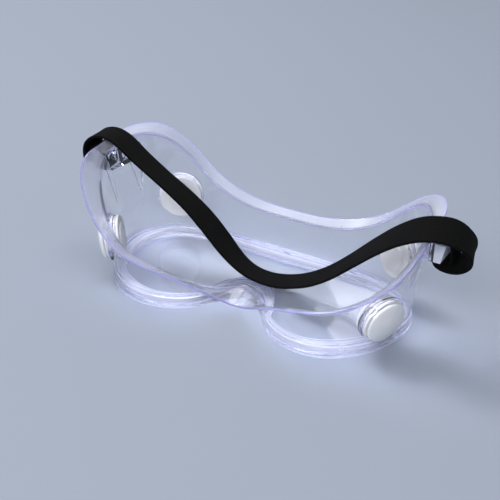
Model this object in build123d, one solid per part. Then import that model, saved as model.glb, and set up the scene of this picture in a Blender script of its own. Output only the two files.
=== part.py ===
"""Indirect-vent splash goggles, lying on the lens with the face side up.

Frame: origin at the middle of the lens rim's outer face, +Z from the lens towards the face,
+Y towards the forehead, +X towards the wearer's right. Millimetres.
"""
from build123d import *
import os
from math import cos, pi, sin

# ---------------------------------------------------------------- driving dimensions
WALL = 1.6              # soft frame wall
FLANGE = 1.3            # face flange thickness
RIM_HEIGHT = 6.4        # depth of the moulded rim round the lens
LENS_THICKNESS = 2.0
LENS_LIP = 2.0          # height of the rim's lip in front of the lens
LENS_GAP = 0.05         # between the lens and each side of its groove
GROOVE_SHARE = 0.55     # how far the groove runs from the opening towards the rim's outer face
WALL_BULGE = 0.6        # how far the wall bows outwards at half height
STATIONS = 22           # sections along half of the frame

# Control points (x, y, z) of four cubic B-spline rails, from the forehead to the nose
RIM = [(0, 37.5, 0), (22, 37, 0), (44, 36.5, 0), (66, 30.5, 0), (81, 14.5, 0), (80, -7.5, 0),
       (71.5, -26.5, 0), (57, -40, 0), (40, -43, 0), (21, -35.5, 0), (13.5, -21, 0), (0, -8.5, 0)]
OPENING = [(0, 28.5, 0), (24, 29, 0), (48, 30, 0), (66, 25, 0), (73, 8, 0), (71.5, -8, 0),
           (65.5, -22, 0), (51.5, -33, 0), (36.5, -36.5, 0), (19, -27, 0), (15.5, -6.5, 0), (0, 6, 0)]
FOLD = [(0, 33, 26.3), (24, 34, 25.5), (47.3, 35.6, 32.7), (61, 37, 45.6), (76, 27, 60), (87, 8, 61.5),
        (90.2, -11.2, 58), (80.2, -24.6, 36.2), (57.2, -40.8, 23), (38, -43.8, 24),
        (13.6, -27.8, 6.4), (0, -6, 7.8)]
EDGE = [(0, 38, 27.8), (25, 38, 28.8), (50, 41, 36.7), (65, 42, 51.4), (81, 35, 62.3), (91, 15.5, 62.3),
        (93.6, -19.5, 65), (88, -31.5, 44.8), (62.7, -44, 27), (37, -53.8, 28.3),
        (18.5, -37, 14.5), (0, -20, -2)]

# Vents: place along the half outline and up the wall, both as shares
VENTS = {"upper": (0.28, 0.45), "lower": (0.54, 0.25)}
BOSS_RADIUS = 12.2
BOSS_DEPTH = 2.4
HOLE_RADIUS = 7.0
TUBE_RADIUS = 6.9
TUBE_BORE = 5.2
SEAT_FLANGE_RADIUS = 11.4
SEAT_FLANGE = 1.1
INNER_FLANGE_RADIUS = 10.6
BAFFLE_RADIUS = 10.1
COVER_RADIUS = 10.8
CAP_RADIUS = 10.8
CAP_UNDERSIDE = 1.7      # lowest part of the cap, above the seat's outer flange
CAP_HEIGHT = 3.8
STEM_RADIUS = 2.0
STEM_CLEARANCE = 0.05
DISC = 0.9              # thickness of the baffle and the inner flange
DISC_GAP = 0.5          # between the inner flange and the baffle, and from the baffle to the cover

# Strap and its brackets
STRAP_WIDTH = 18.0
STRAP_THICKNESS = 1.5
STRAP_STEPS = 5         # sections in each span of the path
BRACKET_Y = 5.5         # middle of the bracket
SLOT_X = (89.0, 92.0)
SLOT_WIDTH = 18.8
WEB = 1.8               # bracket end webs
BAR_TOP_X = 97.0
BAR_BOTTOM_X = 95.2
BRACKET_Z = (47.0, 56.5)
GUSSET_FOOT = 29.0      # height where the gussets below the webs run out into the wall

# Strap centre line from the left bracket to the right one: x, y, z control points
STRAP_PATH = [
    (-90.5, 5.5, 46.5), (-90.5, 5.5, 50), (-90.5, 5.5, 54), (-90.6, 5.5, 56.4), (-93.8, 5.4, 58),
    (-98, 5, 56.9), (-98.5, 4.4, 53.2), (-98.8, 3.6, 50.6), (-101, 3, 50.8), (-101.2, 2.3, 54.4),
    (-100.4, 1.6, 59.5), (-96.7, 1, 63.6), (-90.3, 1, 66.1), (-81.9, 1.2, 64.2), (-72.4, 1.2, 56.7),
    (-55.9, 1.6, 46.8), (-37.8, 1.6, 36.2), (-23.1, 1.3, 22.5), (-9.4, 0, 9.8), (6.8, -0.2, 7.5),
    (23.4, 0, 11.9), (39.6, -1, 22.4), (56, -4, 39.7), (71.2, -9.5, 55.5), (83.5, -10, 64),
    (93.2, -8, 65.9), (101.8, -4.5, 64.3), (108.3, -0.5, 58), (108.2, 3, 50.6), (104.3, 4.2, 44.6),
    (95.9, 4.8, 42.8), (91.2, 5.4, 44.3), (90.5, 5.5, 49), (90.5, 5.5, 54), (90.9, 5.5, 57.6),
    (94, 5.5, 59.6), (98.4, 5.5, 58.6), (99.4, 5.5, 53.5), (99.6, 5.5, 47.5)]


# ---------------------------------------------------------------- geometry helpers
def cubic(u):
    """Weights of a uniform cubic B-spline at u in one span."""
    middle = (3 * u**3 - 6 * u**2 + 4) / 6, (-3 * u**3 + 3 * u**2 + 3 * u + 1) / 6
    return (1 - u) ** 3 / 6, *middle, u**3 / 6


def on_spline(points, share):
    """A point of the uniform cubic B-spline whose padded control points are given."""
    spans = len(points) - 3
    place = min(max(share, 0.0), 1.0) * spans
    first = min(int(place), spans - 1)
    weights = cubic(place - first)
    total = Vector(0, 0, 0)
    for weight, point in zip(weights, points[first:first + 4]):
        total += Vector(*point) * weight
    return total


def rail(points, share):
    """A point of a rail: its neighbours past both ends are mirror images in X."""
    (ax, ay, az), (bx, by, bz) = points[1], points[-2]
    return on_spline([(-ax, ay, az), *points, (-bx, by, bz)], share)


def wall_point(share, height):
    """A point of the wall's outer face, height running from the rim (0) to the fold (1)."""
    low = rail(RIM, share) + Vector(0, 0, RIM_HEIGHT)
    high = rail(FOLD, share)
    bow = outward(share) * (WALL_BULGE * 4 * height * (1 - height))
    return low + (high - low) * height + bow


def outward(share):
    """Level direction from the lens opening to the rim's outer face."""
    return (rail(RIM, share) - rail(OPENING, share)).normalized()


def wall_axis(share, height):
    """A place on the wall and the outward normal there."""
    step = 0.004
    along = wall_point(share + step, height) - wall_point(share - step, height)
    up = wall_point(share, height + step) - wall_point(share, height - step)
    normal = along.cross(up).normalized()
    if normal.dot(outward(share)) < 0:
        normal = normal * -1
    return wall_point(share, height), normal


def disc(radius, low, high):
    """A round plate or tube blank about Z between two heights."""
    return Pos(0, 0, low) * extrude(Circle(radius), high - low)


def mirrored(shape):
    return mirror(shape, about=Plane.YZ)


# ---------------------------------------------------------------- frame
def frame_section(share):
    """Closed outline of the frame's section: rim, groove, wall and face flange."""
    opening, rim, out = rail(OPENING, share), rail(RIM, share), outward(share)
    fold, edge = rail(FOLD, share), rail(EDGE, share)
    along = (rail(FOLD, min(share + 0.01, 1)) - rail(FOLD, max(share - 0.01, 0))).normalized()
    if share in (0.0, 1.0):
        along = Vector(1, 0, 0)
    face_side = along.cross(edge - fold).normalized() * FLANGE
    if face_side.dot(Vector(0, 0, 1) - out) < 0:
        face_side = face_side * -1
    groove = opening + (rim - opening) * GROOVE_SHARE
    lift = Vector(0, 0, 1)
    lens_top = LENS_LIP + LENS_THICKNESS + 2 * LENS_GAP
    foot = rim - out * WALL + lift * RIM_HEIGHT
    middle = wall_point(share, 0.5)
    fold_inner = fold - out * (WALL * 0.6) + face_side
    corners = [opening, rim, rim + lift * RIM_HEIGHT, fold, edge, edge + face_side, fold_inner, foot,
               opening + lift * RIM_HEIGHT, opening + lift * lens_top, groove + lift * lens_top,
               groove + lift * LENS_LIP, opening + lift * LENS_LIP]
    edges = []
    for number, start in enumerate(corners):
        end = corners[(number + 1) % len(corners)]
        if number == 2:
            edges.append(Edge.make_spline([start, middle, end]))
        elif number == 6:
            edges.append(Edge.make_spline([start, middle - out * WALL, end]))
        else:
            edges.append(Edge.make_line(start, end))
    return Wire(edges)


def make_shell():
    half = Solid.make_loft([frame_section(i / STATIONS) for i in range(STATIONS + 1)])
    return half + mirrored(half)


def make_gusset(middle):
    """Thin rib on the wall below one end web, whose middle is at the given Y."""
    top = BRACKET_Z[0]
    share = min((0.3 + 0.005 * i for i in range(60)), key=lambda s: abs(wall_point(s, 0.7).Y - middle))
    spots = [wall_point(share, 0.3 + 0.02 * i) - outward(share) * (WALL / 2) for i in range(31)]
    inner = [(p.X, p.Z) for p in spots if GUSSET_FOOT < p.Z < top + 1]
    foot = (inner[0][0] + WALL / 2, GUSSET_FOOT)
    outline = Polyline(*inner, (SLOT_X[0], top + 1), (SLOT_X[0], top), foot, inner[0])
    return Pos(0, middle, 0) * extrude(Plane.XZ * make_face(outline), WEB / 2, both=True)


def make_bracket():
    """Loop on the right temple: back plate on the wall, two end webs with gussets and the outer bar."""
    low, high = BRACKET_Z
    half_slot = SLOT_WIDTH / 2
    y_low, y_high = BRACKET_Y - half_slot - WEB, BRACKET_Y + half_slot + WEB
    spots = [wall_point(0.3 + 0.01 * i, 0.84) - outward(0.3 + 0.01 * i) * (WALL / 2) for i in range(30)]
    inner = [(p.X, p.Y) for p in spots if y_low < p.Y < y_high]
    (first_x, _), (last_x, _) = inner[0], inner[-1]
    plan = Polyline((first_x, y_high), (BAR_TOP_X, y_high), (BAR_TOP_X, y_low), (last_x, y_low),
                    *reversed(inner), (first_x, y_high))
    body = Pos(0, 0, low) * extrude(make_face(plan), high - low)
    slot = Pos((SLOT_X[0] + SLOT_X[1]) / 2, BRACKET_Y, (low + high) / 2) * Box(
        SLOT_X[1] - SLOT_X[0], SLOT_WIDTH, high - low + 2)
    taper = Polyline((BAR_TOP_X, high), (BAR_TOP_X + 1, high), (BAR_TOP_X + 1, low - 1),
                     (BAR_BOTTOM_X, low - 1), (BAR_BOTTOM_X, low), (BAR_TOP_X, high))
    wedge = extrude(Plane.XZ * make_face(taper), 30, both=True)
    body = body - slot - Pos(0, BRACKET_Y, 0) * wedge
    return body + make_gusset(y_low + WEB / 2) + make_gusset(y_high - WEB / 2)


def vent_planes():
    """Name to plane: origin on the wall's outer face, Z outwards."""
    planes = {}
    for name, (share, height) in VENTS.items():
        place, normal = wall_axis(share, height)
        for side, sign in (("right", 1), ("left", -1)):
            flip = Vector(sign, 1, 1)
            origin = Vector(place.X * flip.X, place.Y, place.Z)
            axis = Vector(normal.X * flip.X, normal.Y, normal.Z)
            planes[f"{name}_{side}"] = Plane(origin=origin, x_dir=Vector(0, 0, 1).cross(axis), z_dir=axis)
    return planes


def make_frame(planes):
    body = make_shell()
    bracket = make_bracket()
    body = body + bracket + mirrored(bracket)
    for plane in planes.values():
        body = body + plane * disc(BOSS_RADIUS, -BOSS_DEPTH, 0)
        for low, high in ((-BOSS_DEPTH - 3, -BOSS_DEPTH), (0, 3)):
            body = body - plane * disc(BOSS_RADIUS, low, high)
        body = body - plane * disc(HOLE_RADIUS, -BOSS_DEPTH - 6, 6)
    return body


def make_lens():
    """Flat clear plate whose border sits in the rim's groove."""
    reach = GROOVE_SHARE - 0.03
    points = []
    for i in range(STATIONS + 1):
        share = i / STATIONS
        inner, outer = rail(OPENING, share), rail(RIM, share)
        points.append(inner + (outer - inner) * reach)
    left = [Vector(-p.X, p.Y, p.Z) for p in reversed(points[1:-1])]
    outline = Edge.make_spline(points + left, periodic=True)
    return Pos(0, 0, LENS_LIP + LENS_GAP) * extrude(make_face(outline), LENS_THICKNESS)


# ---------------------------------------------------------------- vents
def make_vent_seat():
    """Tube through the wall with a flange each side and a hub for the cap's stem."""
    inner_face = -BOSS_DEPTH
    tube_end = inner_face - 2 * DISC - DISC_GAP - 0.2
    tube = disc(TUBE_RADIUS, tube_end, 2.0) - disc(TUBE_BORE, tube_end - 1, 3)
    outer = disc(SEAT_FLANGE_RADIUS, 0.05, 0.05 + SEAT_FLANGE)
    inner = disc(INNER_FLANGE_RADIUS, inner_face - 0.05 - DISC, inner_face - 0.05)
    bore = disc(TUBE_BORE, -20, 10)
    hub = disc(STEM_RADIUS + 1.2, -2.2, 0.8)
    notch = Pos(SEAT_FLANGE_RADIUS, 0, 0.6) * Box(2.2, 3.0, 2.0)
    spokes = [Rot(0, 0, turn) * Pos(0, 0, -0.7) * Box(2 * TUBE_BORE + 1, 1.2, 3.0) for turn in (0, 60, 120)]
    for turn in (45, 135, 225, 315):
        outer = outer - Rot(0, 0, turn) * notch
    seat = tube + (outer - bore) + (inner - bore) + hub
    for spoke in spokes:
        seat = seat + spoke
    return seat - disc(STEM_RADIUS + STEM_CLEARANCE, -10, 10)


def make_vent_cap():
    """Mushroom cap on a headed stem that snaps through the seat's hub."""
    rim, top = CAP_RADIUS, CAP_UNDERSIDE + CAP_HEIGHT
    stem = Polyline((0, -3.6), (STEM_RADIUS - 0.4, -3.6), (STEM_RADIUS + 0.5, -2.9),
                    (STEM_RADIUS + 0.5, -2.5), (STEM_RADIUS, -2.3), (STEM_RADIUS, 2.3), (rim - 2.2, 2.3),
                    (rim - 1.6, CAP_UNDERSIDE), (rim - 0.5, CAP_UNDERSIDE))
    shoulder, rise = rim - 0.9, top - 3.6
    ball = (shoulder**2 + rise**2) / (2 * rise)
    edge = ThreePointArc((rim - 0.5, CAP_UNDERSIDE), (rim, 2.5), (shoulder, 3.6))
    halfway = top - ball + (ball**2 - (shoulder / 2) ** 2) ** 0.5
    dome = ThreePointArc((shoulder, 3.6), (shoulder / 2, halfway), (0, top))
    axis = Line((0, top), (0, -3.6))
    profile = make_face([*stem.edges(), *edge.edges(), *dome.edges(), *axis.edges()])
    return revolve(Plane.XZ * profile, Axis.Z)


def make_vent_baffle():
    """Notched ring round the seat's tube, which turns splashes aside."""
    low = -BOSS_DEPTH - 0.05 - 2 * DISC - DISC_GAP
    ring = disc(BAFFLE_RADIUS, low, low + DISC) - disc(TUBE_RADIUS + 0.05, low - 1, low + DISC + 1)
    for i in range(16):
        turn = 2 * pi * i / 16
        notch = Pos(BAFFLE_RADIUS * cos(turn), BAFFLE_RADIUS * sin(turn), low + DISC / 2)
        ring = ring - notch * Rot(0, 0, turn * 180 / pi) * Box(1.6, 1.3, DISC + 1)
    return ring


def make_vent_cover():
    """Stepped inner cover that plugs into the tube's inner end."""
    top = -BOSS_DEPTH - 0.05 - 2 * (DISC + DISC_GAP)
    cover = disc(COVER_RADIUS, top - 1.2, top) + disc(6.6, top - 1.9, top - 1.2)
    cover = fillet(cover.edges().sort_by(Axis.Z)[:1], 0.5)
    plug = disc(TUBE_BORE - 0.05, top, top + 1.6) - disc(TUBE_BORE - 1.2, top, top + 3)
    slots = Pos(0, 0, top + 1.1) * (Box(12, 2.4, 1.4) + Box(2.4, 12, 1.4))
    return cover + (plug - slots)


# ---------------------------------------------------------------- strap
def make_strap():
    first, second, last, before = (Vector(*STRAP_PATH[i]) for i in (0, 1, -1, -2))
    start, end = first * 2 - second, last * 2 - before
    padded = [tuple(start), *STRAP_PATH, tuple(end)]
    steps = STRAP_STEPS * (len(STRAP_PATH) - 1)
    sections = []
    for i in range(steps + 1):
        share = i / steps
        here = on_spline(padded, share)
        tangent = on_spline(padded, share + 0.002) - on_spline(padded, share - 0.002)
        level = Vector(tangent.X, 0, tangent.Z).normalized()
        normal = Vector(-level.Z, 0, level.X) * (STRAP_THICKNESS / 2)
        across = Vector(0, STRAP_WIDTH / 2, 0)
        under, over = here - normal, here + normal
        sections.append(Wire.make_polygon([under - across, under + across, over + across, over - across]))
    run = 2 * STRAP_STEPS
    lengths = [Solid.make_loft(sections[i : i + run + 1]) for i in range(0, steps, run)]
    return lengths[0].fuse(*lengths[1:])


# ---------------------------------------------------------------- write the nodes
planes = vent_planes()
nodes = {"frame_body": make_frame(planes), "lens": make_lens(), "headband_strap": make_strap()}
makers = {"seat": make_vent_seat, "cap": make_vent_cap, "baffle": make_vent_baffle,
          "inner_cover": make_vent_cover}
for place, plane in planes.items():
    for piece, make in makers.items():
        nodes[f"vent_{piece}_{place}"] = plane * make()

os.makedirs("parts", exist_ok=True)
for name, shape in nodes.items():
    export_step(shape, f"parts/{name}.step")
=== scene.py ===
import math

import bmesh
import bpy
import numpy as np
from mathutils import Matrix, Quaternion, Vector


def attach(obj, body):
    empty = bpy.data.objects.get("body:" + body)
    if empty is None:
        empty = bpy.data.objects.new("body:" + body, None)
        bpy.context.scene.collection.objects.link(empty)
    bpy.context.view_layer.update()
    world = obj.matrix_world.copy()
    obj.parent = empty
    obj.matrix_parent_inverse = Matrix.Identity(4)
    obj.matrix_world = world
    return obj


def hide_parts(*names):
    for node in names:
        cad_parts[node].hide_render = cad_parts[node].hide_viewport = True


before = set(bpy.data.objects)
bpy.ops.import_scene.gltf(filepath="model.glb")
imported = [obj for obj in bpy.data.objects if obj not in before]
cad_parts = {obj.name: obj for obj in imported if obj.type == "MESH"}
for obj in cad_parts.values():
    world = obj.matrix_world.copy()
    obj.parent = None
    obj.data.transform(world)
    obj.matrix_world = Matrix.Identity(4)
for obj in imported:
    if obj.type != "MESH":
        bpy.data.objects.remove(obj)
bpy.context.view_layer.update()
MM = 0.001

# ---------------------------------------------------------------- sizes shared with the CAD (mm)
WALL, FLANGE, RIM_HEIGHT = 1.6, 1.3, 6.4            # thickness of the wall and the flange, height of the rim
LENS_LIP, LENS_TOP, GROOVE_SHARE = 2.0, 4.1, 0.55   # heights and depth of the groove that holds the lens
WALL_BULGE = 0.6
# Rails of the right half, from the forehead to the nose. Each is a spline whose ends mirror over x = 0
RIM = [(0, 37.5, 0), (22, 37, 0), (44, 36.5, 0), (66, 30.5, 0), (81, 14.5, 0), (80, -7.5, 0),
       (71.5, -26.5, 0), (57, -40, 0), (40, -43, 0), (21, -35.5, 0), (13.5, -21, 0), (0, -8.5, 0)]
OPENING = [(0, 28.5, 0), (24, 29, 0), (48, 30, 0), (66, 25, 0), (73, 8, 0), (71.5, -8, 0),
           (65.5, -22, 0), (51.5, -33, 0), (36.5, -36.5, 0), (19, -27, 0), (15.5, -6.5, 0), (0, 6, 0)]
FOLD = [(0, 33, 26.3), (24, 34, 25.5), (47.3, 35.6, 32.7), (61, 37, 45.6), (76, 27, 60), (87, 8, 61.5),
        (90.2, -11.2, 58), (80.2, -24.6, 36.2), (57.2, -40.8, 23), (38, -43.8, 24), (13.6, -27.8, 6.4),
        (0, -6, 7.8)]
EDGE = [(0, 38, 27.8), (25, 38, 28.8), (50, 41, 36.7), (65, 42, 51.4), (81, 35, 62.3), (91, 15.5, 62.3),
        (93.6, -19.5, 65), (88, -31.5, 44.8), (62.7, -44, 27), (37, -53.8, 28.3), (18.5, -37, 14.5),
        (0, -20, -2)]
VENTS = {"upper": (0.28, 0.45), "lower": (0.54, 0.25)}      # share along the wall, share of its height
BOSS_RADIUS, BOSS_DEPTH, HOLE_RADIUS = 12.2, 2.4, 7.0
BRACKET_Y, BRACKET_Z, SLOT_X, SLOT_WIDTH, WEB = 5.5, (47.0, 56.5), (89.0, 92.0), 18.8, 1.8
BAR_TOP_X, BAR_BOTTOM_X, GUSSET_FOOT = 97.0, 95.2, 29.0
STRAP_WIDTH, STRAP_THICKNESS = 18.0, 1.5
# Control points of the headband's centre line, each with the direction across the band there
STRAP = [
    ((-90.5, 5.5, 46.5), (0, 1, 0)), ((-90.5, 5.5, 50), (0, 1, 0)), ((-90.5, 5.5, 54), (0, 1, 0)),
    ((-90.6, 5.5, 56.4), (0, 1, 0)), ((-93.8, 5.4, 58), (0.02, 1, 0)), ((-98, 5, 56.9), (0.03, 1, -0.02)),
    ((-98.5, 4.4, 53.2), (0, 1, 0)), ((-98.8, 3.6, 50.6), (-0.03, 1, 0.03)),
    ((-101, 3, 50.8), (-0.03, 1, 0.06)), ((-101.2, 2.3, 54.4), (-0.02, 1, 0.11)),
    ((-100.4, 1.6, 59.5), (-0.01, 1, 0.06)), ((-96.7, 1, 63.6), (0, 1, -0.04)),
    ((-90.3, 1, 66.1), (0.02, 1, -0.1)), ((-81.9, 1.2, 64.2), (0.03, 1, -0.19)),
    ((-72.4, 1.2, 56.7), (-0.04, 1, -0.17)), ((-55.9, 1.6, 46.8), (0, 1, -0.25)),
    ((-37.8, 1.6, 36.2), (-0.01, 1, -0.13)), ((-23.1, 1.3, 22.5), (0.06, 1, -0.16)),
    ((-9.4, 0, 9.8), (-0.07, 1, -0.27)), ((6.8, -0.2, 7.5), (-0.13, 1, -0.19)),
    ((23.4, 0, 11.9), (-0.03, 1, -0.05)), ((39.6, -1, 22.4), (-0.08, 1, 0.09)),
    ((56, -4, 39.7), (-0.06, 1, 0.21)), ((71.2, -9.5, 55.5), (-0.05, 1, 0.29)),
    ((83.5, -10, 64), (-0.17, 1, 0.24)), ((93.2, -8, 65.9), (-0.23, 1, 0.24)),
    ((101.8, -4.5, 64.3), (-0.24, 1, 0.32)), ((108.3, -0.5, 58), (-0.28, 1, 0.18)),
    ((108.2, 3, 50.6), (-0.23, 1, 0.12)), ((104.3, 4.2, 44.6), (0, 1, 0.2)),
    ((95.9, 4.8, 42.8), (0.06, 1, 0.06)), ((91.2, 5.4, 44.3), (0.02, 1, 0)), ((90.5, 5.5, 49), (0, 1, 0)),
    ((90.5, 5.5, 54), (0, 1, 0)), ((90.9, 5.5, 57.6), (0, 1, 0)), ((94, 5.5, 59.6), (0, 1, 0)),
    ((98.4, 5.5, 58.6), (0, 1, 0)), ((99.4, 5.5, 53.5), (0, 1, 0)), ((99.6, 5.5, 47.5), (0, 1, 0))]

# ---------------------------------------------------------------- this script's own details (mm, or as said)
UP = np.array([0, 0, 1.0])
STATIONS = 220                                      # sections along each half of the frame
WALL_ROWS, CORNER_ROWS = 12, 4                      # section points up each side of the wall, round a corner
WALL_MARGIN = 0.08                                  # share of the wall left to the corners at each end
GLINT_TOP = 1.5                                    # painted white highlight along the rim's outer foot, fading out up to this height
SHOULDER_LOW, SHOULDER_HIGH, SHOULDER_INSET = 4.6, 5.4, 0.7     # chamfer between the rim and the wall
RIB_RISE, RIB_END_X = 0.8, 21                       # rib along the wall's foot; none nearer the middle
POCKET_DEPTH, POCKET_HALF, POCKET_X = 1.5, 1.6, 36  # small pockets in the ledge, at x = 0 and at this x
NOSE_START, NOSE_LENGTH, NOSE_CLEARS = 0.80, 0.08, 0.75         # the flange turns clear towards the nose
DENT_DEPTH, DENT_Y, DENT_SPREAD = 2.6, -6, 13       # where the headband presses on the left temple
DENT_LOW, DENT_RISE, DENT_X = 48, 14, -60
PAST = 1.0                                          # cutters reach this far past what they cut
BAR_SLOPE = 0.19                                    # how far the bar's outer face leans out per mm of height
WEDGE_REACH, WEDGE_HALF = 2, 30                     # the wedge that cuts that face: depth and half its length
BRACKET_SHARES = 0.3 + 0.01 * np.arange(30)         # stations where a bracket's plan follows the wall,
BRACKET_HEIGHT = 0.84                               # at this share of the wall's height
GUSSET_INSET = 0.15                                 # a gusset is this much thinner than its web, each side
SOFT_EDGE, SOFT_STEPS = 0.4, 3                      # bevel of the brackets' edges
BAR_GLINT = 3.4                                     # satin of the right bar, where the light falls: a painted white highlight
GLINT_INSET, GLINT_BLEND = 0.25, 0.1                # that painted highlight reaches this far into the slot, and fades
BRACKET_NEAR_X, BRACKET_NEAR_Y = 78, 13             # what counts as near a bracket
BOSS_EXTRA, FLAT_REACH, FLAT_MARGIN, HOLE_REACH = 1.5, 3, 0.05, (-8, 6)     # plugs and cutters of the vents
ROUND_SIDES = 96
SAME_PLACE = 1e-6                                   # metres
CREASE = math.radians(38)                           # edges sharper than this shade as edges
STRAP_SAMPLES, STRAP_STATIONS = 4000, 640
STRAP_CORNER, RIBS, RIB_POINTS, RIB_HEIGHT = 0.5, 13, 66, 0.075
SELVEDGE_START, SELVEDGE_POINTS, SELVEDGE_INSET = 0.35, 7, 0.1  # the band's rounded long edges

# How satin and how violet a point of the soft frame looks: satin is frosting, and past full satin a painted
# white highlight; violet is the plastic's bluish tint, brightened into a painted edge glow
PLAIN, CLOUDY, FROSTED, GLINT_WHITE = (0, 0), (0.7, 0), (1, 0), (2.4, 0)
GLOWING_EDGE, BY_THE_EDGE, GLOWING_FOLD, BY_THE_FOLD = (0.1, 1), (0.7, 0.6), (0, 0.7), (0.3, 0.6)


# ---------------------------------------------------------------- splines
def on_spline(points, shares):
    """Points of the uniform cubic B-spline whose padded control points are given."""
    points = np.asarray(points, float)
    spans = len(points) - 3
    place = np.clip(shares, 0.0, 1.0) * spans
    first = np.minimum(place.astype(int), spans - 1)
    u = (place - first)[:, None]
    weights = ((1 - u) ** 3 / 6, (3 * u**3 - 6 * u**2 + 4) / 6,
               (-3 * u**3 + 3 * u**2 + 3 * u + 1) / 6, u**3 / 6)
    return sum(w * points[first + k] for k, w in enumerate(weights))


def rail(points, shares):
    """Places along a rail, from its share 0 at the forehead to 1 at the nose."""
    (ax, ay, az), (bx, by, bz) = points[1], points[-2]
    return on_spline([(-ax, ay, az), *points, (-bx, by, bz)], np.asarray(shares, float))


def unit(v):
    return v / np.maximum(np.linalg.norm(v, axis=-1, keepdims=True), 1e-12)


def outward(shares):
    return unit(rail(RIM, shares) - rail(OPENING, shares))


def wall_point(shares, height):
    """Places on the wall's outer face, at a share of the way up from the rim to the fold."""
    low = rail(RIM, shares) + (0, 0, RIM_HEIGHT)
    high = rail(FOLD, shares)
    return low + (high - low) * height + outward(shares) * (WALL_BULGE * 4 * height * (1 - height))


def wall_axis(share, height):
    """A place on the wall, and the direction straight out of it."""
    step = 0.004
    s = np.array([share])
    along = wall_point(s + step, height) - wall_point(s - step, height)
    up = wall_point(s, height + step) - wall_point(s, height - step)
    normal = unit(np.cross(along, up))[0]
    if normal @ outward(s)[0] < 0:
        normal = -normal
    return wall_point(s, height)[0], normal


def vent_places():
    for share, height in VENTS.values():
        place, axis = wall_axis(share, height)
        for sign in (1, -1):
            yield place * (sign, 1, 1), axis * (sign, 1, 1)


# ---------------------------------------------------------------- mesh helpers
def new_object(name, points, faces, material=None, smooth=True):
    mesh = bpy.data.meshes.new(name)
    mesh.from_pydata([tuple(p) for p in np.asarray(points) * MM], [], faces)
    mesh.validate()
    obj = bpy.data.objects.new(name, mesh)
    bpy.context.scene.collection.objects.link(obj)
    if material:
        mesh.materials.append(material)
    for polygon in mesh.polygons:
        polygon.use_smooth = smooth
    return obj


def grid_faces(rows, columns, closed=True):
    """Quads of a grid that wraps round in its columns and, if closed, in its rows as well."""
    faces = []
    for i in range(rows if closed else rows - 1):
        for j in range(columns):
            here, there = i * columns, (i + 1) % rows * columns
            faces.append((here + j, here + (j + 1) % columns, there + (j + 1) % columns, there + j))
    return faces


def fix_normals(obj):
    b = bmesh.new()
    b.from_mesh(obj.data)
    bmesh.ops.recalc_face_normals(b, faces=b.faces)
    b.to_mesh(obj.data)
    b.free()


def with_modifiers(obj):
    """A new mesh with the object's modifiers applied; they are then cleared."""
    mesh = bpy.data.meshes.new_from_object(obj.evaluated_get(bpy.context.evaluated_depsgraph_get()))
    obj.modifiers.clear()
    return mesh


def combine(obj, other, how, crossing=False):
    """Adds the other mesh to this one, or takes it away, and deletes it; crossing: its pieces may overlap."""
    m = obj.modifiers.new("cut", "BOOLEAN")
    m.operation, m.object, m.solver, m.use_self = how, other, "EXACT", crossing
    mesh = with_modifiers(obj)
    old, obj.data = obj.data, mesh
    bpy.data.meshes.remove(old)
    bpy.data.objects.remove(other)


def joined(pieces):
    """One object out of several."""
    whole = bmesh.new()
    for piece in pieces:
        whole.from_mesh(piece.data)
    for piece in pieces[1:]:
        bpy.data.objects.remove(piece)
    whole.to_mesh(pieces[0].data)
    whole.free()
    return pieces[0]


def mirror_copy(obj):
    points = np.empty(len(obj.data.vertices) * 3)
    obj.data.vertices.foreach_get("co", points)
    faces = [tuple(p.vertices) for p in obj.data.polygons]
    twin = new_object(obj.name + "_left", points.reshape(-1, 3) * (-1, 1, 1) / MM, faces, smooth=False)
    fix_normals(twin)
    return twin


def solid(name, outline, low, high):
    """A prism from a plan outline (x, y) between two heights."""
    n = len(outline)
    points = [(x, y, z) for z in (low, high) for x, y in outline]
    faces = [tuple(range(n))[::-1], tuple(range(n, 2 * n))]
    faces += [(i, (i + 1) % n, n + (i + 1) % n, n + i) for i in range(n)]
    obj = new_object(name, points, faces, smooth=False)
    fix_normals(obj)
    return obj


def upright_solid(name, outline, half_width, middle=0.0):
    """A prism from an outline (x, z), as far each way from y = middle."""
    obj = solid(name, outline, -half_width, half_width)
    obj.data.transform(Matrix(((1, 0, 0, 0), (0, 0, -1, middle * MM), (0, 1, 0, 0), (0, 0, 0, 1))))
    fix_normals(obj)
    return obj


def cylinder(name, place, axis, radius, low, high):
    """A round plug along an axis."""
    axis = Vector(axis).normalized()
    side = Vector((0, 0, 1)).cross(axis).normalized()
    other = axis.cross(side)
    points = []
    for h in (low, high):
        for i in range(ROUND_SIDES):
            turn = 2 * math.pi * i / ROUND_SIDES
            spoke = side * math.cos(turn) + other * math.sin(turn)
            points.append(tuple(Vector(place) + axis * h + spoke * radius))
    faces = grid_faces(2, ROUND_SIDES, closed=False)
    faces += [tuple(range(ROUND_SIDES)), tuple(range(ROUND_SIDES, 2 * ROUND_SIDES))]
    obj = new_object(name, points, faces, smooth=False)
    fix_normals(obj)
    return obj


# ---------------------------------------------------------------- materials
def new_material(name):
    """A material, its node tree and the sockets of its Principled shader."""
    made = bpy.data.materials.new(name)
    made.use_nodes = True
    return made, made.node_tree, made.node_tree.nodes["Principled BSDF"].inputs


def feed(tree, socket, value):
    """Links another node's socket, or sets a number or colour."""
    if isinstance(value, bpy.types.NodeSocket):
        tree.links.new(value, socket)
    else:
        socket.default_value = value


def maths(tree, operation, *values, clamp=False):
    n = tree.nodes.new("ShaderNodeMath")
    n.operation, n.use_clamp = operation, clamp
    for socket, value in zip(n.inputs, values):
        feed(tree, socket, value)
    return n.outputs[0]


def map_range(tree, value, old, new, clamp=True):
    n = tree.nodes.new("ShaderNodeMapRange")
    n.clamp = clamp
    feed(tree, n.inputs["Value"], value)
    n.inputs["From Min"].default_value, n.inputs["From Max"].default_value = old
    n.inputs["To Min"].default_value, n.inputs["To Max"].default_value = new
    return n.outputs["Result"]


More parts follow.
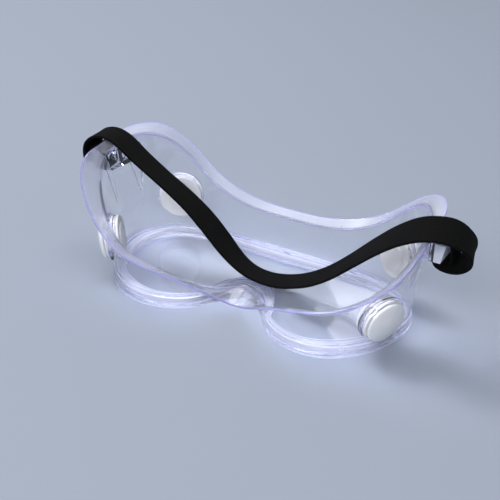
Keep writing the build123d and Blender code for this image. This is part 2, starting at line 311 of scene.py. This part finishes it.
def mix_colours(tree, share, first, second):
    n = tree.nodes.new("ShaderNodeMix")
    n.data_type = "RGBA"
    factor, colour_a, colour_b = n.inputs[0], n.inputs[6], n.inputs[7]
    feed(tree, factor, share)
    feed(tree, colour_a, first)
    feed(tree, colour_b, second)
    return n.outputs[2]


def noise(tree, scale, detail, spread=None):
    """Noise in object coordinates, as it comes or spread between two values."""
    n = tree.nodes.new("ShaderNodeTexNoise")
    n.inputs["Scale"].default_value, n.inputs["Detail"].default_value = scale, detail
    feed(tree, n.inputs["Vector"], tree.nodes.new("ShaderNodeTexCoord").outputs["Object"])
    return map_range(tree, n.outputs["Fac"], (0.3, 0.7), spread) if spread else n.outputs["Fac"]


def bump(tree, height, strength, distance):
    n = tree.nodes.new("ShaderNodeBump")
    n.inputs["Strength"].default_value, n.inputs["Distance"].default_value = strength, distance
    feed(tree, n.inputs["Height"], height)
    return n.outputs["Normal"]


def attribute(tree, name):
    n = tree.nodes.new("ShaderNodeAttribute")
    n.attribute_name = name
    return n.outputs["Fac"]


def let_lamps_through(tree, tint):
    """Clear pieces dim the lamps a little, instead of casting the dark shadow of an opaque one."""
    mix, clear, path = (tree.nodes.new(f"ShaderNode{kind}")
                        for kind in ("MixShader", "BsdfTransparent", "LightPath"))
    clear.inputs["Color"].default_value = tint
    feed(tree, mix.inputs[0], path.outputs["Is Shadow Ray"])
    feed(tree, mix.inputs[1], tree.nodes["Principled BSDF"].outputs[0])
    feed(tree, mix.inputs[2], clear.outputs[0])
    feed(tree, tree.nodes["Material Output"].inputs["Surface"], mix.outputs[0])


SATIN_ROUGHNESS, CLEAR_TRANSMISSION, SATIN_TRANSMISSION, VIOLET_DIMMING = 0.32, 0.985, 0.74, 0.45
RIB_PITCH, PICK_PITCH, PICK_SHARE = 0.00058, 0.00052, 0.6       # the elastic's weave: metres, metres, height


def clear_vinyl():
    """Soft clear plastic; satin makes it whiter and duller, and past full satin it is a painted white
    highlight; violet tints its edges and fold with a painted glow.
    """
    made, tree, p = new_material("clear_vinyl")
    satin_and_glint, violet_glow = attribute(tree, "satin_and_glint"), attribute(tree, "violet_glow")
    # The violet is a painted glow at the free edge and the fold, over the plastic's own bluish tint
    tint = mix_colours(tree, violet_glow, (0.965, 0.97, 0.995, 1), (0.56, 0.54, 0.99, 1))
    # Satin whitens the plastic towards grey-lavender; points set past full satin also lose their transmission
    # below, a painted white highlight
    feed(tree, p["Base Color"], mix_colours(tree, satin_and_glint, tint, (0.80, 0.82, 0.91, 1)))
    p["IOR"].default_value = 1.47
    haze = maths(tree, "MULTIPLY", satin_and_glint, noise(tree, scale=42, detail=3, spread=(0.72, 1.12)))
    gloss_spots = noise(tree, scale=55, detail=4, spread=(0.012, 0.045))
    rough = maths(tree, "MULTIPLY_ADD", haze, SATIN_ROUGHNESS, gloss_spots, clamp=True)
    feed(tree, p["Roughness"], rough)
    clear = map_range(tree, haze, (0, 1), (CLEAR_TRANSMISSION, SATIN_TRANSMISSION), clamp=False)
    clear = maths(tree, "MULTIPLY_ADD", violet_glow, -VIOLET_DIMMING, clear, clamp=True)
    feed(tree, p["Transmission Weight"], clear)
    feed(tree, p["Normal"], bump(tree, noise(tree, scale=38, detail=2), strength=0.22, distance=0.0012))
    absorb = tree.nodes.new("ShaderNodeVolumeAbsorption")
    absorb.inputs["Color"].default_value = (0.05, 0.10, 0.90, 1)
    absorb.inputs["Density"].default_value = 7
    feed(tree, tree.nodes["Material Output"].inputs["Volume"], absorb.outputs[0])
    let_lamps_through(tree, (0.90, 0.91, 0.97, 1))
    return made


def clear_sheet():
    made, tree, p = new_material("clear_sheet")
    p["Base Color"].default_value = (0.965, 0.97, 0.985, 1)
    p["IOR"].default_value = 1.52
    p["Transmission Weight"].default_value = 1.0
    feed(tree, p["Roughness"], noise(tree, scale=90, detail=5, spread=(0.004, 0.022)))
    feed(tree, p["Normal"], bump(tree, noise(tree, scale=14, detail=1), strength=0.12, distance=0.001))
    let_lamps_through(tree, (0.93, 0.93, 0.96, 1))
    return made


def milky_white():
    made, tree, p = new_material("milky_white")
    tone = noise(tree, scale=130, detail=4, spread=(0, 1))
    feed(tree, p["Base Color"], mix_colours(tree, tone, (0.90, 0.90, 0.92, 1), (0.965, 0.965, 0.97, 1)))
    feed(tree, p["Roughness"], noise(tree, scale=260, detail=3, spread=(0.34, 0.5)))
    p["Subsurface Weight"].default_value = 0.35
    p["Subsurface Radius"].default_value = (1, 1, 1)
    p["Subsurface Scale"].default_value = 0.002
    p["IOR"].default_value = 1.49
    feed(tree, p["Normal"], bump(tree, noise(tree, scale=900, detail=3), strength=0.12, distance=0.0002))
    return made


def elastic():
    """Black woven elastic; its ribs run along the band and its picks across."""
    made, tree, p = new_material("black_elastic")
    uv = tree.nodes.new("ShaderNodeUVMap")
    uv.uv_map = "weave"
    split = tree.nodes.new("ShaderNodeSeparateXYZ")
    feed(tree, split.inputs[0], uv.outputs[0])
    ribs, picks = (maths(tree, "SINE", maths(tree, "MULTIPLY", split.outputs[way], 2 * math.pi / pitch))
                   for way, pitch in (("Y", RIB_PITCH), ("X", PICK_PITCH)))
    height = maths(tree, "MULTIPLY_ADD", maths(tree, "MULTIPLY", ribs, picks), PICK_SHARE, ribs)
    tone = map_range(tree, height, (-1 - PICK_SHARE, 1 + PICK_SHARE), (0, 1))
    fuzzy = maths(tree, "MULTIPLY", tone, noise(tree, scale=1800, detail=2, spread=(0, 1)))
    feed(tree, p["Base Color"],
         mix_colours(tree, fuzzy, (0.0015, 0.0015, 0.0016, 1), (0.0085, 0.0085, 0.0086, 1)))
    p["Roughness"].default_value = 0.82
    p["Specular IOR Level"].default_value = 0.09
    p["Sheen Weight"].default_value = 0.012
    p["Sheen Roughness"].default_value = 0.45
    feed(tree, p["Normal"], bump(tree, height, strength=0.55, distance=0.00006))
    return made


def pale_floor():
    made, _, p = new_material("pale_floor")
    p["Base Color"].default_value = (0.37, 0.41, 0.49, 1)
    p["Roughness"].default_value = 0.75
    p["Specular IOR Level"].default_value = 0.2
    return made


VINYL, SHEET, MILKY, ELASTIC = clear_vinyl(), clear_sheet(), milky_white(), elastic()

# ---------------------------------------------------------------- camera, fitted to the photo
AZIMUTH, ELEVATION, ROLL = math.radians(26.8), math.radians(29.4), math.radians(2.4)
DISTANCE, TARGET = 624.8, Vector((1.0, -13.1, 30))
FOCAL, PICTURE_WIDTH, SENSOR = 1274.6, 500, 36      # pixels, pixels, mm
back = Vector((math.sin(AZIMUTH) * math.cos(ELEVATION), -math.cos(AZIMUTH) * math.cos(ELEVATION),
               math.sin(ELEVATION)))
level = (-back).cross(Vector((0, 0, 1))).normalized()
upright = level.cross(-back)
right = level * math.cos(ROLL) + upright * math.sin(ROLL)
upward = upright * math.cos(ROLL) - level * math.sin(ROLL)
camera = bpy.data.objects.new("camera", bpy.data.cameras.new("camera"))
camera.data.sensor_width, camera.data.lens = SENSOR, SENSOR * FOCAL / PICTURE_WIDTH
camera.data.clip_start, camera.data.clip_end = 0.01, 50
stand = Matrix.Translation((TARGET + back * DISTANCE) * MM)
camera.matrix_world = stand @ Matrix((right, upward, back)).transposed().to_4x4()
bpy.context.scene.collection.objects.link(camera)
bpy.context.scene.camera = camera

# ---------------------------------------------------------------- floor and light
FLOOR_Z, FLOOR_HALF = -0.2, 4000        # just below the rim, so that light passes under the clear plastic
floor_corners = [(x, y, FLOOR_Z) for x, y in ((-FLOOR_HALF, -FLOOR_HALF), (FLOOR_HALF, -FLOOR_HALF),
                                              (FLOOR_HALF, FLOOR_HALF), (-FLOOR_HALF, FLOOR_HALF))]
floor = new_object("floor", floor_corners, [(0, 1, 2, 3)], pale_floor())


def lamp(name, place, aim, size, power, colour=(1, 1, 1), turn=0.0):
    """A soft box (metres, watts), aimed at another place and turned about its own axis (degrees)."""
    data = bpy.data.lights.new(name, "AREA")
    data.shape, (data.size, data.size_y) = "RECTANGLE", size
    data.energy, data.color = power, colour
    obj = bpy.data.objects.new(name, data)
    obj.location = place
    facing = (Vector(aim) - Vector(place)).to_track_quat("-Z", "Y")
    obj.rotation_euler = (facing @ Quaternion((0, 0, 1), math.radians(turn))).to_euler()
    bpy.context.scene.collection.objects.link(obj)


lamp("key", place=(-0.75, 0.25, 1.05), aim=(0, 0, 0.02), size=(0.35, 0.35), power=6.5)
lamp("overhead", place=(-0.1, 0.35, 1.35), aim=(0, 0, 0), size=(0.7, 0.6), power=4.5)
lamp("front", place=(0.15, -1.05, 0.85), aim=(0, 0, 0.03), size=(0.6, 0.5), power=8.5, colour=(0.97, 0.98, 1))
# Two boxes stand where the lens mirrors them towards the camera: a bright patch on the right lobe
# and an even haze on the left one
lamp("patch", place=(-0.243, 0.79, 0.536), aim=(0.052, 0.0, 0.004), size=(0.088, 0.088), power=0.038,
     colour=(0.94, 0.94, 1), turn=38)
lamp("haze", place=(-0.53, 0.75, 0.50), aim=(-0.045, -0.005, 0.004), size=(0.24, 0.28), power=0.045,
     colour=(0.88, 0.88, 1))
world = bpy.data.worlds.new("studio")
bpy.context.scene.world = world
world.use_nodes = True
backdrop = world.node_tree.nodes["Background"].inputs
backdrop["Color"].default_value, backdrop["Strength"].default_value = (0.80, 0.84, 0.92, 1), 0.34
bpy.context.scene.view_settings.view_transform = "Standard"


# ---------------------------------------------------------------- soft frame
def section_rows(corners, curves):
    """The rows of points that run along the frame, and how each looks.

    A corner is its points, a rounding radius and a look. A name in the place of the points stands for one of
    the curves, each the points where it starts, its middle and where it ends.
    """
    rows, looks = [], []
    for k, (point, radius, look) in enumerate(corners):
        if isinstance(point, str):
            start, middle, end = curves[point]
            new = [start * (2 * (u - 0.5) * (u - 1)) + middle * (4 * u * (1 - u))
                   + end * (2 * u * (u - 0.5)) for u in np.linspace(WALL_MARGIN, 1 - WALL_MARGIN, WALL_ROWS)]
        elif not radius:
            new = [point]
        else:
            before, after = corners[k - 1][0], corners[(k + 1) % len(corners)][0]
            before = rows[-1] if isinstance(before, str) else before
            after = curves[after][1] if isinstance(after, str) else after
            d1, d2 = before - point, after - point
            l1, l2 = np.linalg.norm(d1, axis=1)[:, None], np.linalg.norm(d2, axis=1)[:, None]
            reach = np.minimum(radius, np.minimum(l1, l2) * 0.45)
            start = point + d1 / np.maximum(l1, 1e-9) * reach
            end = point + d2 / np.maximum(l2, 1e-9) * reach
            new = [start * (1 - u) ** 2 + point * 2 * u * (1 - u) + end * u**2
                   for u in np.linspace(0, 1, CORNER_ROWS)]
        rows += new
        looks += [look] * len(new)
    return np.stack(rows, axis=1), np.array(looks, float)


def frame_rings():
    """Section points of every station, shape (stations, points, 3), and how satin and violet each point is
    (satin past 1 is a painted white highlight, violet a painted edge glow).
    """
    s = np.linspace(0, 1, STATIONS + 1)
    o, r, out = rail(OPENING, s), rail(RIM, s), outward(s)
    fold, edge = rail(FOLD, s), rail(EDGE, s)
    along = unit(rail(FOLD, np.minimum(s + 0.01, 1)) - rail(FOLD, np.maximum(s - 0.01, 0)))
    along[0] = along[-1] = (1, 0, 0)
    side = unit(np.cross(along, edge - fold)) * FLANGE
    side[(side * (UP - out)).sum(1) < 0] *= -1
    groove = o + (r - o) * GROOVE_SHARE
    shoulder = r - out * SHOULDER_INSET + UP * SHOULDER_HIGH
    foot = r - out * WALL + UP * RIM_HEIGHT
    middle = wall_point(s, 0.5)
    fold_in = fold - out * (WALL * 0.6) + side
    brim = edge - fold

    x = np.abs(r[:, 0])[:, None]
    rib = np.where((s[:, None] < 0.5) & (x < RIB_END_X), 0.0, RIB_RISE)
    pockets = ((s[:, None] < 0.3) & (x < POCKET_HALF)
               | (s[:, None] < 0.4) & (np.abs(x - POCKET_X) < POCKET_HALF))
    pocket = np.where(pockets, -POCKET_DEPTH, 0.0)

    def ledge(share, z):
        """A place on the rim's face side: share of the way from the wall's foot to the opening."""
        return foot + (o + UP * RIM_HEIGHT - foot) * share + UP * z

    # The white rows at the rim's outer foot, the ledge's inner end and the lens groove are painted highlights;
    # the violet rows at the free edge and the fold are a painted glow
    corners = [  # points, rounding radius, look
        (o + (r - o) * 0.10, 0.0, CLOUDY), (o + (r - o) * 0.5, 0.0, CLOUDY),
        (r - out * 0.4, 0.0, GLINT_WHITE), (r, 0.8, GLINT_WHITE), (r + UP * GLINT_TOP, 0.0, CLOUDY),
        (r + UP * SHOULDER_LOW, 0.5, CLOUDY), (shoulder, 0.5, CLOUDY),
        ("outer wall", None, PLAIN),
        (fold, 1.2, PLAIN), (fold + brim * 0.16, 0.0, PLAIN), (fold + brim * 0.18, 0.0, FROSTED),
        (edge - brim * 0.10, 0.0, FROSTED), (edge - brim * 0.08, 0.0, BY_THE_EDGE),
        (edge, 0.6, GLOWING_EDGE), (edge + side, 0.6, GLOWING_EDGE),
        (edge + side - brim * 0.08, 0.0, BY_THE_EDGE), (edge + side - brim * 0.10, 0.0, FROSTED),
        (fold_in + brim * 0.12, 0.0, FROSTED), (fold_in + brim * 0.09, 0.0, BY_THE_FOLD),
        (fold_in, 0.8, GLOWING_FOLD),
        ("inner wall", None, PLAIN),
        (foot, 0.8, CLOUDY), (ledge(0.12, 0), 0.2, CLOUDY),
        (ledge(0.16, rib), 0.3, CLOUDY), (ledge(0.30, rib), 0.3, CLOUDY),
        (ledge(0.34, 0), 0.2, CLOUDY), (ledge(0.46, 0), 0.1, CLOUDY),
        (ledge(0.48, pocket), 0.1, CLOUDY), (ledge(0.76, pocket), 0.1, CLOUDY),
        (ledge(0.78, 0), 0.1, CLOUDY), (ledge(0.90, 0), 0.3, GLINT_WHITE), (ledge(1.0, -0.5), 0.3, GLINT_WHITE),
        (o + UP * LENS_TOP, 0.2, CLOUDY), (groove + UP * LENS_TOP, 0.1, GLINT_WHITE),
        (groove + UP * LENS_LIP, 0.1, GLINT_WHITE), (o + UP * LENS_LIP, 0.3, CLOUDY),
        (o + (r - o) * 0.04 + UP * 0.3, 0.4, CLOUDY)]
    half, looks = section_rows(corners, {"outer wall": (shoulder, middle, fold),
                                         "inner wall": (fold_in, middle - out * WALL, foot)})
    looks = np.tile(looks, (len(s), 1, 1))
    looks[..., 0] *= 1 - NOSE_CLEARS * np.clip((s - NOSE_START) / NOSE_LENGTH, 0, 1)[:, None]
    left = half[1:-1][::-1] * (-1, 1, 1)
    pressed = (np.exp(-((left[..., 1] - DENT_Y) / DENT_SPREAD) ** 2)
               * np.clip((left[..., 2] - DENT_LOW) / DENT_RISE, 0, 1) * (left[..., 0] < DENT_X))
    left[..., 2] -= DENT_DEPTH * pressed
    return np.concatenate([half, left]), np.concatenate([looks, looks[1:-1][::-1]])


def make_gusset(middle):
    """The thin rib on the wall below one of a bracket's end webs."""
    shares = np.linspace(0.3, 0.6, 121)
    share = shares[np.abs(wall_point(shares, 0.7)[:, 1] - middle).argmin()]
    inner = [(wall_point([share], h) - outward([share]) * WALL / 2)[0] for h in np.linspace(0.3, 0.9, 31)]
    inner = [(x, z) for x, _, z in inner if GUSSET_FOOT < z < BRACKET_Z[0] + 1]
    outline = inner + [(SLOT_X[0] - 0.1, BRACKET_Z[0] + 1), (SLOT_X[0] - 0.1, BRACKET_Z[0]),
                       (inner[0][0] + WALL / 2, GUSSET_FOOT)]
    return upright_solid("gusset", outline, WEB / 2 - GUSSET_INSET, middle)


def make_bracket():
    """The right strap bracket: a bar beyond a slot, two end webs, and a gusset below each web."""
    low, high = BRACKET_Z
    y0, y1 = BRACKET_Y - SLOT_WIDTH / 2, BRACKET_Y + SLOT_WIDTH / 2
    y_low, y_high = y0 - WEB, y1 + WEB
    spots = wall_point(BRACKET_SHARES, BRACKET_HEIGHT) - outward(BRACKET_SHARES) * WALL / 2
    inner = [(x, y) for x, y, _ in spots if y_low < y < y_high]
    plan = [(inner[0][0], y_high), (BAR_TOP_X, y_high), (BAR_TOP_X, y_low), (inner[-1][0], y_low)]
    bracket = solid("bracket", plan + inner[::-1], low, high)
    slot = solid("slot", [(SLOT_X[0], y0), (SLOT_X[1], y0), (SLOT_X[1], y1), (SLOT_X[0], y1)],
                 low - PAST, high + PAST)
    combine(bracket, slot, "DIFFERENCE")
    outline = [(BAR_TOP_X + BAR_SLOPE, high + PAST), (BAR_TOP_X + WEDGE_REACH, high + PAST),
               (BAR_TOP_X + WEDGE_REACH, low - PAST), (BAR_BOTTOM_X - BAR_SLOPE, low - PAST)]
    combine(bracket, upright_solid("wedge", outline, WEDGE_HALF), "DIFFERENCE")
    soften = bracket.modifiers.new("soften", "BEVEL")
    soften.width, soften.segments = SOFT_EDGE * MM, SOFT_STEPS
    soften.limit_method, soften.angle_limit = "ANGLE", math.radians(50)
    mesh = with_modifiers(bracket)
    cut = bmesh.new()
    cut.from_mesh(mesh)
    # Cuts where the right bar's painted highlight starts and where it fades
    for inset in (GLINT_INSET + GLINT_BLEND, GLINT_INSET - GLINT_BLEND):
        bmesh.ops.bisect_plane(cut, geom=cut.verts[:] + cut.edges[:] + cut.faces[:],
                               plane_co=((SLOT_X[1] - inset) * MM, 0, 0), plane_no=(1, 0, 0))
    cut.to_mesh(mesh)
    cut.free()
    bracket.data = mesh
    for middle in (y_low + WEB / 2, y_high - WEB / 2):
        combine(bracket, make_gusset(middle), "UNION")
    return bracket


def drop_crumbs(mesh):
    """Triangles only, without the pairs back to back that the booleans leave."""
    whole = bmesh.new()
    whole.from_mesh(mesh)
    bmesh.ops.remove_doubles(whole, verts=whole.verts, dist=SAME_PLACE)
    bmesh.ops.triangulate(whole, faces=whole.faces)
    same = {}
    for face in whole.faces:
        same.setdefault(frozenset(v.index for v in face.verts), []).append(face)
    crumbs = [face for faces in same.values() if len(faces) > 1 for face in faces]
    bmesh.ops.delete(whole, geom=crumbs, context="FACES")
    whole.to_mesh(mesh)
    whole.free()


def dress_brackets(mesh):
    """Clear webs and gussets; the right bar, where the light falls, gets a painted white highlight."""
    points = np.empty(len(mesh.vertices) * 3)
    mesh.vertices.foreach_get("co", points)
    x, y, z = points.reshape(-1, 3).T / MM
    near = ((np.abs(x) > BRACKET_NEAR_X) & (np.abs(y - BRACKET_Y) < BRACKET_NEAR_Y)
            & (z > GUSSET_FOOT - 1) & (z < BRACKET_Z[1] + 0.3))
    # only the right bar, where the light falls, gets the painted highlight
    bar = near & (x > SLOT_X[1] - GLINT_INSET)
    for name, on_bar in (("satin_and_glint", BAR_GLINT), ("violet_glow", 0)):
        values = np.empty(len(mesh.vertices), np.float32)
        mesh.attributes[name].data.foreach_get("value", values)
        values[near] = 0
        values[bar] = on_bar
        mesh.attributes[name].data.foreach_set("value", values)


def make_frame():
    rings, looks = frame_rings()
    rows, columns = rings.shape[:2]
    obj = new_object("soft_frame", rings.reshape(-1, 3), grid_faces(rows, columns), VINYL)
    for k, name in enumerate(("satin_and_glint", "violet_glow")):
        values = obj.data.attributes.new(name, "FLOAT", "POINT")
        values.data.foreach_set("value", looks[..., k].ravel().astype(np.float32))
    fix_normals(obj)
    bracket = make_bracket()
    bosses = [cylinder("boss", place, axis, BOSS_RADIUS, -BOSS_DEPTH - BOSS_EXTRA, BOSS_EXTRA)
              for place, axis in vent_places()]
    combine(obj, joined([bracket, mirror_copy(bracket)] + bosses), "UNION")
    flats = [cylinder("flat", place, axis, BOSS_RADIUS + FLAT_MARGIN, low, high)
             for place, axis in vent_places()
             for low, high in ((-BOSS_DEPTH - FLAT_REACH, -BOSS_DEPTH), (0, FLAT_REACH))]
    holes = [cylinder("hole", place, axis, HOLE_RADIUS, *HOLE_REACH) for place, axis in vent_places()]
    combine(obj, joined(flats + holes), "DIFFERENCE", crossing=True)
    drop_crumbs(obj.data)
    dress_brackets(obj.data)
    obj.data.set_sharp_from_angle(angle=CREASE)
    for polygon in obj.data.polygons:
        polygon.use_smooth = True
    return obj


soft_frame = make_frame()
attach(soft_frame, "goggles")
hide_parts("frame_body")


# ---------------------------------------------------------------- headband
def strap_section():
    """The band's outline across: ribbed faces and rounded long edges."""
    half_w, half_t = STRAP_WIDTH / 2 - STRAP_CORNER, STRAP_THICKNESS / 2
    v = np.linspace(-1, 1, RIB_POINTS)
    lift = half_t - RIB_HEIGHT + RIB_HEIGHT * np.cos(v * RIBS * math.pi)
    turns = np.linspace(SELVEDGE_START, math.pi - SELVEDGE_START, SELVEDGE_POINTS)
    selvedge = [(half_w + STRAP_CORNER * math.sin(a), (half_t - SELVEDGE_INSET) * math.cos(a)) for a in turns]
    return np.array([(x * half_w, z) for x, z in zip(v, lift)] + selvedge
                    + [(x * half_w, -z) for x, z in zip(v[::-1], lift)] + [(-x, -z) for x, z in selvedge])


def make_strap():
    """The headband, and its length in metres."""
    centres, leans = (np.array(part, float) for part in zip(*STRAP))
    centres = np.vstack([2 * centres[0] - centres[1], centres, 2 * centres[-1] - centres[-2]])
    leans = np.vstack([leans[0], leans, leans[-1]])
    fine = np.linspace(0, 1, STRAP_SAMPLES)
    steps = np.linalg.norm(np.diff(on_spline(centres, fine), axis=0), axis=1)
    run = np.concatenate([[0], np.cumsum(steps)])
    length = np.linspace(0, run[-1], STRAP_STATIONS)
    s = np.interp(length, run, fine)
    line = on_spline(centres, s)
    tangent = unit(on_spline(centres, s + 0.0015) - on_spline(centres, s - 0.0015))
    across = unit(on_spline(leans, s))
    across = unit(across - tangent * (across * tangent).sum(1)[:, None])
    normal = np.cross(tangent, across)
    # the width varies by a percent or so along the band
    wobble = 1 + 0.012 * np.sin(length / 7.3) * np.sin(length / 23.0) + 0.005 * np.sin(length / 2.9 + 1)
    shape = strap_section()
    points = (line[:, None] + across[:, None] * (shape[None, :, :1] * wobble[:, None, None])
              + normal[:, None] * shape[None, :, 1:])
    columns = len(shape)
    faces = grid_faces(STRAP_STATIONS, columns, closed=False)
    faces += [tuple(range(columns))[::-1],
              tuple(range((STRAP_STATIONS - 1) * columns, STRAP_STATIONS * columns))]
    obj = new_object("headband_elastic", points.reshape(-1, 3), faces, ELASTIC)
    layer = obj.data.uv_layers.new(name="weave")
    flat = np.stack([np.repeat(length, columns), np.tile(shape[:, 0], STRAP_STATIONS)], axis=1) * MM
    index = np.empty(len(obj.data.loops), int)
    obj.data.loops.foreach_get("vertex_index", index)
    layer.data.foreach_set("uv", flat[index].ravel().astype(np.float32))
    fix_normals(obj)
    return obj, run[-1] * MM


strap, strap_length = make_strap()
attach(strap, "goggles")
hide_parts("headband_strap")

# ---------------------------------------------------------------- lens and vents, carried over from the CAD
for name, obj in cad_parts.items():
    if name == "lens":
        finish = SHEET
    elif name.startswith("vent_"):
        finish = MILKY
    else:
        continue
    for slot in obj.material_slots:
        slot.link = "OBJECT"
        slot.material = finish
